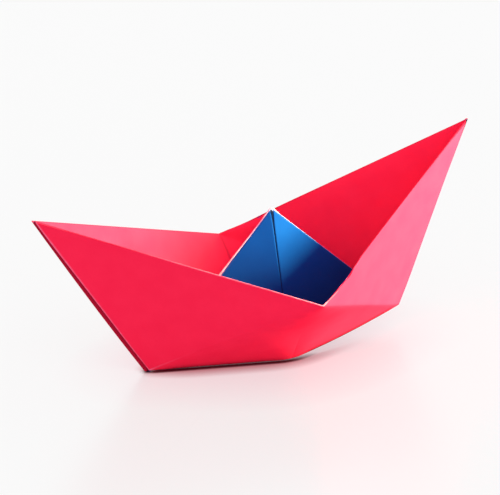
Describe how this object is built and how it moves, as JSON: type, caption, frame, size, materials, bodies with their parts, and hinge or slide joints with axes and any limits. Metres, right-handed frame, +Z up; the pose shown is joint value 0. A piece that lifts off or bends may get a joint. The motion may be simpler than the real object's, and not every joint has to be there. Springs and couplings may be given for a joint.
{
  "type": "folded paper boat",
  "caption": "Folded paper boat with a flared open hull, raised pointed ends and a hollow pointed peak amidships, for display, play or floating.",
  "frame": {"origin": "centre of the boat's outline in plan, on the surface it stands on", "axes": "+X along the keel towards the raised stern, +Y to the starboard side, +Z up; the boat stands on the bow foot of its keel and on both base creases, with the stern foot lifted"},
  "size_m": [0.171, 0.0932, 0.0763],
  "materials": {
    "duo_paper": "matt uncoated paper, red on the hull face and blue on the peak face, paler along the worn folds"
  },
  "bodies": {
    "root": {"folded_sheet": "duo_paper"}
  },
  "joints": []
}
